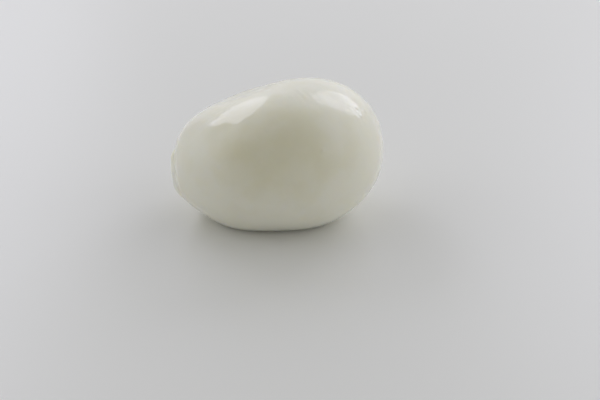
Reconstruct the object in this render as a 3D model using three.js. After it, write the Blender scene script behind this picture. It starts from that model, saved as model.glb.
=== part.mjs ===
// A ball of fresh mozzarella: one soft, wet, lopsided piece of stretched curd, settled on a small flat foot.
// It is an ovoid that leans up towards +X, with a long low slope on its other shoulder, and it keeps the thin
// lip of skin that was left at its -X end when it was pinched off the string of curd.
//
// Millimetres and degrees, +Z up. +X runs along the ball towards its higher end, and -Y is its front.
// The origin is the bottom centre of the ball's box, on the surface that it rests on.

import * as THREE from "three";
import { mergeVertices } from "three/addons/utils/BufferGeometryUtils.js";

// Body: half sizes of the ovoid before it leans and settles
const HALF_LENGTH = 44.5;
const HALF_DEPTH = 40;
const HALF_HEIGHT = 30.5;
const SQUARENESS = 2.2; // 2 is an ellipsoid, and a higher number is boxier
const LEAN = 8; // how far the +X end is lifted

// Foot: the body sinks onto the surface, and the foot's edge rounds into the side
const CENTRE_HEIGHT = 26.5; // of the body's centre over the surface
const FOOT_ROUNDING = 1.2; // the rounding starts this far below the surface and runs out as far above it
const FOOT_EDGE = 0.3; // it stops at this height, in an edge round the flat foot

// Unevenness: swellings, and hollows where rise is negative. Each is a soft dome about a direction from the
// body's centre, azimuth turning from +X towards +Y, and spread is where it has fallen to about a third.
const UNEVENNESS = [
  { place: "low shoulder", azimuth: 145, elevation: 42, spread: 38, rise: -4.4 },
  { place: "long slope", azimuth: 85, elevation: 50, spread: 26, rise: -1 },
  { place: "pinched end", azimuth: 180, elevation: 0, spread: 30, rise: 1.4 },
  { place: "pinched end, over the lip", azimuth: 176, elevation: 12, spread: 16, rise: 0.8 },
  { place: "root of the lip", azimuth: 195, elevation: -17, spread: 12, rise: 1.8 },
  { place: "front of the foot, left", azimuth: 228, elevation: -40, spread: 16, rise: 0.7 },
  { place: "front of the foot, right", azimuth: 315, elevation: -38, spread: 30, rise: 1.75 },
  { place: "dent in the back", azimuth: 62, elevation: -2, spread: 22, rise: -1 },
  { place: "cheek of the back", azimuth: 112, elevation: -14, spread: 26, rise: 0.8 },
  { place: "crown of the front", azimuth: 275, elevation: 43, spread: 30, rise: 3 },
  { place: "cheek of the front", azimuth: 240, elevation: 15, spread: 16, rise: 1.9 },
  { place: "dent over the lip", azimuth: 195, elevation: 37, spread: 10, rise: -0.45 },
];

// Lip: a thin ridge of skin over the pinched end. It runs down and forwards from its head to its tip, gets
// lower towards the tip, and stops short there.
const LIP_HEAD = { azimuth: 185.5, elevation: -1 };
const LIP_TIP = { azimuth: 196.6, elevation: -18.8 };
const LIP_HEAD_HEIGHT = 1.45;
const LIP_TIP_HEIGHT = 0.6;
const LIP_HALF_WIDTH = 1.8; // degrees, as the next two
const LIP_HEAD_FADE = 4; // beyond the head
const LIP_TIP_FADE = 1.2; // beyond the tip

// Mesh
const FACET_DETAIL = 20; // 20 * (detail + 1)^2 triangles
const GATHER = 2; // how strongly the triangles crowd towards the lip

const CURD = new THREE.MeshStandardMaterial({ color: "#e6e3d2", roughness: 0.22, metalness: 0 });

function fromAngles({ azimuth, elevation }) {
  const turn = THREE.MathUtils.degToRad(azimuth);
  const lift = THREE.MathUtils.degToRad(elevation);
  return new THREE.Vector3(Math.cos(lift) * Math.cos(turn), Math.cos(lift) * Math.sin(turn), Math.sin(lift));
}

const bell = (x) => Math.exp(-x * x);

const degreesBetween = (a, b) => THREE.MathUtils.radToDeg(a.angleTo(b));

// The settled height of a point: flat in the foot, unchanged above the rounding, and smooth between
function settle(height) {
  if (height >= FOOT_ROUNDING) return height;
  const rounded = Math.max(0, height + FOOT_ROUNDING) ** 2 / (4 * FOOT_ROUNDING);
  return rounded < FOOT_EDGE ? 0 : rounded;
}

function unevenness(direction) {
  let rise = 0;
  for (const dome of UNEVENNESS) {
    rise += dome.rise * bell(degreesBetween(direction, fromAngles(dome)) / dome.spread);
  }
  return rise;
}

function lip(direction) {
  const head = fromAngles(LIP_HEAD);
  const tip = fromAngles(LIP_TIP);
  const length = degreesBetween(head, tip);
  const pole = head.clone().cross(tip).normalize();
  const onArc = direction.clone().projectOnPlane(pole).normalize();
  const side = Math.sign(pole.dot(head.clone().cross(onArc)));
  const along = side * degreesBetween(head, onArc);
  const across = 90 - degreesBetween(direction, pole);
  const reach = THREE.MathUtils.clamp(along / length, 0, 1);
  let height = THREE.MathUtils.lerp(LIP_HEAD_HEIGHT, LIP_TIP_HEIGHT, reach ** 3);
  if (along < 0) height *= bell(along / LIP_HEAD_FADE);
  if (along > length) height *= bell((along - length) / LIP_TIP_FADE);
  return height * bell(across / LIP_HALF_WIDTH);
}

// The point of the skin in a direction of the unit sphere
function skin(direction) {
  const power = (v) => Math.abs(v) ** SQUARENESS;
  const boxiness = (power(direction.x) + power(direction.y) + power(direction.z)) ** (-1 / SQUARENESS);
  const point = direction
    .clone()
    .multiplyScalar(boxiness)
    .multiply(new THREE.Vector3(HALF_LENGTH, HALF_DEPTH, HALF_HEIGHT))
    .applyAxisAngle(new THREE.Vector3(0, 1, 0), -THREE.MathUtils.degToRad(LEAN));
  const outward = point.clone().normalize();
  point.addScaledVector(outward, unevenness(outward) + lip(outward));
  point.z = settle(point.z + CENTRE_HEIGHT);
  return point;
}

function ballGeometry() {
  const sphere = new THREE.IcosahedronGeometry(1, FACET_DETAIL);
  sphere.deleteAttribute("normal");
  sphere.deleteAttribute("uv");
  const geometry = mergeVertices(sphere);
  const gatherTo = fromAngles(LIP_HEAD).add(fromAngles(LIP_TIP)).normalize();
  const position = geometry.getAttribute("position");
  const direction = new THREE.Vector3();
  for (let i = 0; i < position.count; i++) {
    direction.fromBufferAttribute(position, i).normalize();
    const pull = GATHER * Math.max(0, direction.dot(gatherTo)) ** 2;
    direction.addScaledVector(gatherTo, pull).normalize();
    const point = skin(direction);
    position.setXYZ(i, point.x, point.y, point.z);
  }
  geometry.computeBoundingBox();
  const centre = geometry.boundingBox.getCenter(new THREE.Vector3());
  geometry.translate(-centre.x, -centre.y, 0);
  geometry.computeVertexNormals();
  return geometry;
}

const ball = new THREE.Mesh(ballGeometry(), CURD);
ball.name = "mozzarella_ball";

const group = new THREE.Group();
group.add(ball);

export default group;
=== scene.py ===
"""The looks of a ball of fresh mozzarella: a wet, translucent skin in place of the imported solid."""

import math

import bmesh
import bpy
import numpy as np
from mathutils import Matrix, Vector, noise


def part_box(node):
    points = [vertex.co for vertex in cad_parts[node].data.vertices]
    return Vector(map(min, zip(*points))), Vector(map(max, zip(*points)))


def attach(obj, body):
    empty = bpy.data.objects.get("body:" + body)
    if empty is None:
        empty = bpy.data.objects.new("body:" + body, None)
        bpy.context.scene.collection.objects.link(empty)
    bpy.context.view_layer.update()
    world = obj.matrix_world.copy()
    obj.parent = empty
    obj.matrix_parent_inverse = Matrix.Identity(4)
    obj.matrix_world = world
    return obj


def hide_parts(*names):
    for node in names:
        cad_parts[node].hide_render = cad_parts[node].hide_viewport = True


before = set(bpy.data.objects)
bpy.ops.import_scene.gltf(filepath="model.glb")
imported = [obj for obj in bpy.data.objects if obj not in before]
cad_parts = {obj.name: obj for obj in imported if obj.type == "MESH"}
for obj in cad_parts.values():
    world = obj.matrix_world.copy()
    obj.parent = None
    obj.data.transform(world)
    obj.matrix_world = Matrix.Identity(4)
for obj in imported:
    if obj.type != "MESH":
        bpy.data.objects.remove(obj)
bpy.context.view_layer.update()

MM = 0.001

# ---------------------------------------------------------------- form, in millimetres and degrees
# The sizes from HALF_SIZES to LIP are those of the solid. Azimuth turns from +X towards +Y, and elevation is
# up from the level, both seen from the body's centre. A spread is where a soft dome has fallen to about a
# third.

HALF_SIZES = (44.5, 40, 30.5)
SQUARENESS = 2.2  # 2 is an ellipsoid, and a higher number is boxier
LEAN = 8  # how far the +X end is lifted
CENTRE_HEIGHT = 26.5  # of the body's centre over the floor
FOOT_ROUNDING = 1.2  # the rounding starts this far below the floor and runs out as far above it
FOOT_EDGE = 0.3  # it stops at this height, in an edge round the flat foot

UNEVENNESS = (  # azimuth, elevation, spread and rise
    (145, 42, 38, -4.4),  # low shoulder
    (85, 50, 26, -1),  # long slope
    (180, 0, 30, 1.4),  # pinched end
    (176, 12, 16, 0.8),  # pinched end, over the lip
    (195, -17, 12, 1.8),  # root of the lip
    (228, -40, 16, 0.7),  # front of the foot, left
    (315, -38, 30, 1.75),  # front of the foot, right
    (62, -2, 22, -1),  # dent in the back
    (112, -14, 26, 0.8),  # cheek of the back
    (275, 43, 30, 3),  # crown of the front
    (240, 15, 16, 1.9),  # cheek of the front
    (195, 37, 10, -0.45),  # dent over the lip
)

# Head, tip, height at the head, height at the tip, half width, and the fades beyond the head and the tip
LIP = ((185.5, -1), (196.6, -18.8), 1.45, 0.6, 1.8, 4, 1.2)
LIP_WAVER = 0.35  # how far the lip swings to either side of its arc
WAVER_LENGTH = 11  # of one swing to both sides, along a lip or a pleat

GRID = 128  # quads along each of the six faces that the skin's mesh grows from
GATHERS = ((191, -10, 0.7), (285, 50, 0.4))  # azimuth, elevation and strength of the places they crowd to


def from_angles(azimuth, elevation):
    turn, lift = math.radians(azimuth), math.radians(elevation)
    return np.array((math.cos(lift) * math.cos(turn), math.cos(lift) * math.sin(turn), math.sin(lift)))


def unit(vectors):
    return vectors / np.linalg.norm(vectors, axis=-1, keepdims=True)


def bell(x):
    return np.exp(-x * x)


def degrees_from(directions, axis):
    return np.degrees(np.arccos(np.clip(directions @ axis, -1, 1)))


def domes(directions, rows):
    """The sum of soft domes, or hollows where the height is negative"""
    return sum(
        height * bell(degrees_from(directions, from_angles(azimuth, elevation)) / spread)
        for azimuth, elevation, spread, height in rows
    )


def ridge(directions, head, tip, head_height, tip_height, half_width, head_fade, tip_fade, waver):
    """A ridge along the arc from head to tip, or a crease where the heights are negative"""
    head, tip = from_angles(*head), from_angles(*tip)
    length = degrees_from(head, tip)
    pole = unit(np.cross(head, tip))
    across = 90 - degrees_from(directions, pole)
    on_arc = unit(directions - (directions @ pole)[:, None] * pole)
    along = np.sign(np.cross(head, on_arc) @ pole) * degrees_from(on_arc, head)
    across = across + waver * np.sin(along / WAVER_LENGTH * 2 * math.pi)
    height = head_height + (tip_height - head_height) * np.clip(along / length, 0, 1) ** 3
    height = height * bell(np.minimum(along, 0) / head_fade)
    height = height * bell(np.maximum(along - length, 0) / tip_fade)
    return height * bell(across / half_width)


def settle(height):
    """The settled height: flat in the foot, unchanged above the rounding, and smooth between"""
    rounded = np.maximum(0, height + FOOT_ROUNDING) ** 2 / (4 * FOOT_ROUNDING)
    return np.where(height >= FOOT_ROUNDING, height, np.where(rounded < FOOT_EDGE, 0, rounded))


def body_point(directions):
    """The body before it settles: points about its centre, and the outward directions to them"""
    boxiness = (np.abs(directions) ** SQUARENESS).sum(1) ** (-1 / SQUARENESS)
    points = directions * boxiness[:, None] * np.array(HALF_SIZES)
    lean = np.array(Matrix.Rotation(-math.radians(LEAN), 3, "Y"))
    points = points @ lean.T
    outward = unit(points)
    return points, outward


# ---------------------------------------------------------------- relief finer than the solid's facets

WAVES = (  # wavelength and height of the skin's unevenness
    (26, 0.12),
    (11, 0.06),
    (4.5, 0.03),
    (2.4, 0.012),
)

KNUCKLES = (  # azimuth, elevation, spread and height of single soft lumps and dents
    (210, 29, 5.6, 0.46),
    (225, 31.5, 4, -0.18),
    (335, 49.5, 8.5, -0.32),
    (20, 12, 6, 0.3),
    (110, 20, 6.5, 0.35),
    (60, 48, 8, -0.3),
)

PLEATS = (  # as the lip, and how far each wavers: the creases and folds that the pinch has left round it
    ((183, 4), (168, 22), -0.35, -0.1, 2.3, 2, 5, 0.7),
    ((180, -2), (160, 4), -0.4, -0.1, 2.1, 2, 5, 0.9),
    ((184, -9), (166, -14), -0.35, -0.1, 2.4, 2, 5, 0.8),
    ((189, -17), (176, -29), -0.3, -0.1, 2.0, 2, 4, 0.6),
    ((191, -2), (200, -15), -0.22, -0.1, 1.5, 3, 3, 0.5),
    ((176, 3), (158, 14), 0.25, 0.05, 2.6, 3, 5, 0.6),
    ((180, -7), (162, -5), 0.25, 0.05, 2.4, 3, 5, 0.6),
)

PUCKERS = (  # azimuth, elevation, spread and height of patches where the skin is drawn up in small lumps
    (205, 42, 12, 0.15),
    (341, 34, 7, 0.18),
    (70, 38, 10, 0.08),
    (128, 12, 9, 0.08),
    (15, -12, 9, 0.07),
)
PUCKER_LENGTH = 2.2

WRINKLES = (  # azimuth, elevation, spread and height of patches with fine parallel creases
    (305, 63, 12, 0.08),
    (120, 55, 11, 0.05),
    (250, -20, 8, 0.03),
)
WRINKLE_ALONG = (0.34, -0.94, 0)
WRINKLE_LENGTH = 1.9  # across the creases
WRINKLE_STRETCH = 5  # how many times longer they are along them

PIMPLES = (  # azimuth, elevation, radius and height of small bumps, and pits where the height is negative
    (235, 12, 0.8, 0.25),
    (259, 17.6, 0.8, 0.25),
    (297, 22.3, 0.8, 0.26),
    (342, 35, 0.8, -0.24),
    (339, 31, 0.8, 0.28),
    (349, 31, 0.8, 0.25),
    (40, 24, 0.8, 0.25),
    (75, 10, 0.8, 0.25),
    (97, 27, 0.8, -0.22),
    (152, 18, 0.8, 0.25),
    (128, -8, 0.8, 0.25),
    (20, 5, 0.8, 0.25),
)

# Each use of the noise takes a place of its own in it
WAVE_OFFSET = 3.7  # between one wave and the next
PUCKER_OFFSET = 21.4
WRINKLE_OFFSET = 8.9


def noise_field(points, wavelength, offset):
    """Smooth noise from -1 to 1 at each point"""
    shift = Vector((offset, -offset, 2 * offset))
    return np.array([noise.noise(Vector(p) / wavelength + shift) for p in points])


def waves(points):
    return sum(
        height * noise_field(points, wavelength, WAVE_OFFSET * (i + 1))
        for i, (wavelength, height) in enumerate(WAVES)
    )


def wrinkles(points, outward):
    along = unit(np.array(WRINKLE_ALONG))
    squeezed = points - (1 - 1 / WRINKLE_STRETCH) * (points @ along)[:, None] * along
    return domes(outward, WRINKLES) * noise_field(squeezed, WRINKLE_LENGTH, WRINKLE_OFFSET)


def pimples(points, outward):
    reach = np.linalg.norm(points, axis=1)
    total = 0
    for azimuth, elevation, radius, height in PIMPLES:
        away = np.radians(degrees_from(outward, from_angles(azimuth, elevation))) * reach
        total = total + height * bell(away / radius)
    return total


def relief(points, outward):
    """How far the finer relief rises from the body at each point"""
    total = waves(points) + domes(outward, KNUCKLES)
    total += sum(ridge(outward, *pleat) for pleat in PLEATS)
    total += domes(outward, PUCKERS) * noise_field(points, PUCKER_LENGTH, PUCKER_OFFSET)
    total += wrinkles(points, outward)
    total += pimples(points, outward)
    return total


def sphere_directions():
    """A cube cut into a grid, and the directions that push its corners out to the unit sphere"""
    grid = bmesh.new()
    bmesh.ops.create_cube(grid, size=2)
    bmesh.ops.subdivide_edges(grid, edges=grid.edges, cuts=GRID - 1, use_grid_fill=True)
    # The tangent makes the quads about equal on the sphere
    directions = unit(np.tan(np.array([v.co for v in grid.verts]) * math.pi / 4))
    for azimuth, elevation, strength in GATHERS:
        centre = from_angles(azimuth, elevation)
        pull = strength * np.maximum(0, directions @ centre) ** 2
        directions = unit(directions + pull[:, None] * centre)
    return grid, directions


def make_skin():
    """The skin with its relief, fitted to the box of the solid that it replaces"""
    grid, directions = sphere_directions()
    points, outward = body_point(directions)
    rise = domes(outward, UNEVENNESS) + ridge(outward, *LIP, LIP_WAVER) + relief(points, outward)
    points = points + rise[:, None] * outward
    points[:, 2] = settle(points[:, 2] + CENTRE_HEIGHT)
    low, high = points.min(0), points.max(0)
    cad_low, cad_high = (np.array(c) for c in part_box("mozzarella_ball"))
    points = cad_low + (points - low) / (high - low) * (cad_high - cad_low)
    for vertex, point in zip(grid.verts, points):
        vertex.co = point
    mesh = bpy.data.meshes.new("curd_skin")
    grid.to_mesh(mesh)
    grid.free()
    mesh.shade_smooth()
    skin = bpy.data.objects.new("curd_skin", mesh)
    bpy.context.scene.collection.objects.link(skin)
    return skin


# ---------------------------------------------------------------- shader nodes
# Each function adds its nodes to the tree and gives back their output.


def noise_texture(tree, place, scale, detail):
    texture = tree.nodes.new("ShaderNodeTexNoise")
    texture.inputs["Scale"].default_value = scale
    texture.inputs["Detail"].default_value = detail
    tree.links.new(place, texture.inputs["Vector"])
    return texture.outputs["Fac"]


def map_range(tree, value, source, target, interpolation="SMOOTHSTEP"):
    ramp = tree.nodes.new("ShaderNodeMapRange")
    ramp.interpolation_type = interpolation
    ramp.inputs["From Min"].default_value, ramp.inputs["From Max"].default_value = source
    ramp.inputs["To Min"].default_value, ramp.inputs["To Max"].default_value = target
    tree.links.new(value, ramp.inputs["Value"])
    return ramp.outputs["Result"]


def add(tree, first, second):
    node = tree.nodes.new("ShaderNodeMath")
    tree.links.new(first, node.inputs[0])
    tree.links.new(second, node.inputs[1])
    return node.outputs["Value"]


def mix_colours(tree, factor, first, second):
    """The first is a colour, and the second is a colour or the output of another node"""
    node = tree.nodes.new("ShaderNodeMix")
    node.data_type = "RGBA"
    tree.links.new(factor, node.inputs["Factor"])
    node.inputs["A"].default_value = first
    if isinstance(second, tuple):
        node.inputs["B"].default_value = second
    else:
        tree.links.new(second, node.inputs["B"])
    return node.outputs["Result"]


def distance_from(tree, place, middle, size):
    """How far a point is from the middle, where size is 1 along each axis"""
    mapping = tree.nodes.new("ShaderNodeMapping")
    mapping.vector_type = "TEXTURE"
    mapping.inputs["Location"].default_value = [v * MM for v in middle]
    mapping.inputs["Scale"].default_value = [v * MM for v in size]
    tree.links.new(place, mapping.inputs["Vector"])
    length = tree.nodes.new("ShaderNodeVectorMath")
    length.operation = "LENGTH"
    tree.links.new(mapping.outputs["Vector"], length.inputs[0])
    return length.outputs["Value"]


# ---------------------------------------------------------------- materials

# Painted shade: the first colour is darker and yellower, painted round the middle of the ball where it lies
# in shade; the second is the curd's own colour.
PAINTED_SHADE_COLOUR = (0.823, 0.797, 0.622, 1)
END_COLOUR = (0.899, 0.884, 0.763, 1)
PAINTED_SHADE_MIDDLE = (-1, 0, 40)  # mm: the middle of the painted shade, where the curd is painted darkest and yellowest
PAINTED_SHADE_SIZE = (46, 200, 28)  # mm: how far from it, along each axis, the painted shade has faded to the curd's own colour
PAINTED_SHADE_FADE = (0.2, 0.85)  # the shares of that size where the painted shade starts to fade and where it has gone

LIP_COLOUR = (0.900, 0.892, 0.800, 1)
LIP_MIDDLE = (-44.5, -8, 18)  # mm
LIP_SIZE = (6, 10, 14)  # mm: how far from its middle, along each axis, the thin skin of the lip reaches
LIP_FADE = (0.2, 1)

# Each noise has a scale, per metre, and a detail, the number of its finer layers
MOTTLE_NOISE = (90, 3)
ROUGHNESS_NOISE = (400, 2)
GRAIN_NOISE = (1300, 2)
NOISE_RANGE = (0.3, 0.7)  # the part of a noise's values that is used
MOTTLE = (-0.22, 0.22)  # how much paler the mottle makes the curd
ROUGHNESS = (0.44, 0.54)
GRAIN_DEPTH = 0.000004  # metres


def curd_colour_and_painted_shade(tree, place):
    """Painted shade, darker and yellower towards the middle of the ball, then paler outwards, palest in the
    thin lip
    """
    out_of_painted_shade = map_range(tree, distance_from(tree, place, PAINTED_SHADE_MIDDLE, PAINTED_SHADE_SIZE), PAINTED_SHADE_FADE, (0, 1))
    mottle = map_range(tree, noise_texture(tree, place, *MOTTLE_NOISE), NOISE_RANGE, MOTTLE)
    body_colour = mix_colours(tree, add(tree, out_of_painted_shade, mottle), PAINTED_SHADE_COLOUR, END_COLOUR)
    body_share = map_range(tree, distance_from(tree, place, LIP_MIDDLE, LIP_SIZE), LIP_FADE, (0, 1))
    return mix_colours(tree, body_share, LIP_COLOUR, body_colour)


def grain(tree, place):
    bump = tree.nodes.new("ShaderNodeBump")
    bump.inputs["Distance"].default_value = GRAIN_DEPTH
    tree.links.new(noise_texture(tree, place, *GRAIN_NOISE), bump.inputs["Height"])
    return bump.outputs["Normal"]


def curd_material():
    """Milky curd under a film of whey"""
    material = bpy.data.materials.new("wet_curd")
    material.use_nodes = True
    tree = material.node_tree
    place = tree.nodes.new("ShaderNodeTexCoord").outputs["Object"]
    roughness = map_range(tree, noise_texture(tree, place, *ROUGHNESS_NOISE), NOISE_RANGE, ROUGHNESS)
    shader = tree.nodes["Principled BSDF"].inputs
    tree.links.new(curd_colour_and_painted_shade(tree, place), shader["Base Color"])
    tree.links.new(roughness, shader["Roughness"])
    tree.links.new(grain(tree, place), shader["Normal"])
    shader["IOR"].default_value = 1.35
    shader["Specular IOR Level"].default_value = 0.6
    shader["Subsurface Weight"].default_value = 1
    shader["Subsurface Radius"].default_value = (1.0, 0.93, 0.75)
    shader["Subsurface Scale"].default_value = 0.0055
    shader["Coat Weight"].default_value = 0.9
    shader["Coat IOR"].default_value = 1.33
    shader["Coat Roughness"].default_value = 0.01
    return material


def floor_material():
    material = bpy.data.materials.new("pale_floor")
    material.use_nodes = True
    shader = material.node_tree.nodes["Principled BSDF"].inputs
    shader["Base Color"].default_value = (0.835, 0.835, 0.815, 1)
    shader["Roughness"].default_value = 0.35
    return material


# ---------------------------------------------------------------- stage and camera, in metres

FLOOR_REACH = 3.0

FOCAL_LENGTH = 85  # mm
SENSOR_WIDTH = 36  # mm
CAMERA_PITCH = 26.1  # degrees below the level
CAMERA_DEPTH = 0.623  # from the camera to the origin, along the way it looks
IMAGE_SIZE = (600, 400)
ORIGIN_PIXEL = (277.6, 206.66)  # where the origin, under the middle of the ball, shows


def make_floor():
    mesh = bpy.data.meshes.new("floor")
    reach = FLOOR_REACH
    corners = [(-reach, -reach, 0), (reach, -reach, 0), (reach, reach, 0), (-reach, reach, 0)]
    mesh.from_pydata(corners, [], [(0, 1, 2, 3)])
    floor = bpy.data.objects.new("floor", mesh)
    floor.data.materials.append(floor_material())
    bpy.context.scene.collection.objects.link(floor)


def make_camera():
    data = bpy.data.cameras.new("camera")
    data.lens = FOCAL_LENGTH
    data.sensor_width = SENSOR_WIDTH
    camera = bpy.data.objects.new("camera", data)
    camera.rotation_euler = (math.radians(90 - CAMERA_PITCH), 0, 0)
    focal_pixels = FOCAL_LENGTH / SENSOR_WIDTH * IMAGE_SIZE[0]
    across = (ORIGIN_PIXEL[0] - IMAGE_SIZE[0] / 2) / focal_pixels * CAMERA_DEPTH
    up = -(ORIGIN_PIXEL[1] - IMAGE_SIZE[1] / 2) / focal_pixels * CAMERA_DEPTH
    turn = camera.rotation_euler.to_matrix()
    camera.location = -(turn @ Vector((across, up, -CAMERA_DEPTH)))
    bpy.context.scene.collection.objects.link(camera)
    bpy.context.scene.camera = camera


# ---------------------------------------------------------------- light, in metres and degrees

SOFTBOX_DISTANCE = 1.3
SOFTBOX_COLOUR = (1.0, 1.0, 1.15)
# Name, azimuth, elevation, width, height, roll, and the brightness at its low-azimuth end and at the other
SOFTBOXES = (
    ("softbox_left", 117.6, 30.3, 1.04, 0.38, 46, 0.75, 3.3),
    ("softbox_right", 60.0, 29.1, 0.77, 0.57, 18, 2.9, 0.85),
)

ROOM_LIGHT = 0.07
GLOWS = (  # azimuth, elevation, reach and brightness of the wide soft glows in the white room
    (90, 10, 70, 0.22),
    (90, 0, 40, 0.51),
    (145, 12, 60, 0.2),
    (35, 12, 60, 0.37),
    (185, 15, 60, 0.67),
    (355, 15, 60, 0.46),
    (150, 50, 50, 0.31),
    (30, 50, 50, 0.28),
    (315, 15, 60, 0.38),
    (270, -5, 45, 0.12),
)


def make_softbox(name, azimuth, elevation, width, height, roll, low_brightness, high_brightness):
    """An elliptical light that aims at the ball and is brighter towards one end"""
    data = bpy.data.lights.new(name, "AREA")
    data.shape = "ELLIPSE"
    data.size, data.size_y = width, height
    data.color = SOFTBOX_COLOUR
    area = math.pi / 4 * width * height
    data.energy = math.pi * area  # a radiance of 1, which the gradient multiplies
    data.use_nodes = True
    tree = data.node_tree
    split = tree.nodes.new("ShaderNodeSeparateXYZ")
    tree.links.new(tree.nodes.new("ShaderNodeNewGeometry").outputs["Parametric"], split.inputs["Vector"])
    brightness = map_range(tree, split.outputs["X"], (0, 1), (low_brightness, high_brightness), "LINEAR")
    tree.links.new(brightness, tree.nodes["Emission"].inputs["Strength"])
    light = bpy.data.objects.new(name, data)
    place = Vector(from_angles(azimuth, elevation)) * SOFTBOX_DISTANCE
    aim = place.to_track_quat("Z", "Y").to_matrix().to_4x4()
    light.matrix_world = Matrix.Translation(place) @ aim @ Matrix.Rotation(math.radians(roll), 4, "Z")
    bpy.context.scene.collection.objects.link(light)


def make_world():
    """A white room, dim apart from the glows"""
    world = bpy.data.worlds.new("studio")
    world.use_nodes = True
    tree = world.node_tree
    direction = tree.nodes.new("ShaderNodeTexCoord").outputs["Generated"]
    total = tree.nodes.new("ShaderNodeValue").outputs["Value"]
    total.default_value = ROOM_LIGHT
    for azimuth, elevation, reach, brightness in GLOWS:
        facing = tree.nodes.new("ShaderNodeVectorMath")
        facing.operation = "DOT_PRODUCT"
        facing.inputs[1].default_value = from_angles(azimuth, elevation)
        tree.links.new(direction, facing.inputs[0])
        edge = math.cos(math.radians(reach))
        glow = map_range(tree, facing.outputs["Value"], (edge, 1), (0, brightness))
        total = add(tree, total, glow)
    background = tree.nodes["Background"]
    background.inputs["Color"].default_value = (1, 1, 1, 1)
    tree.links.new(total, background.inputs["Strength"])
    bpy.context.scene.world = world


make_camera()
make_floor()
make_world()
for softbox in SOFTBOXES:
    make_softbox(*softbox)
bpy.context.scene.view_settings.view_transform = "Standard"

skin = make_skin()
skin.data.materials.append(curd_material())
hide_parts("mozzarella_ball")
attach(skin, "root")
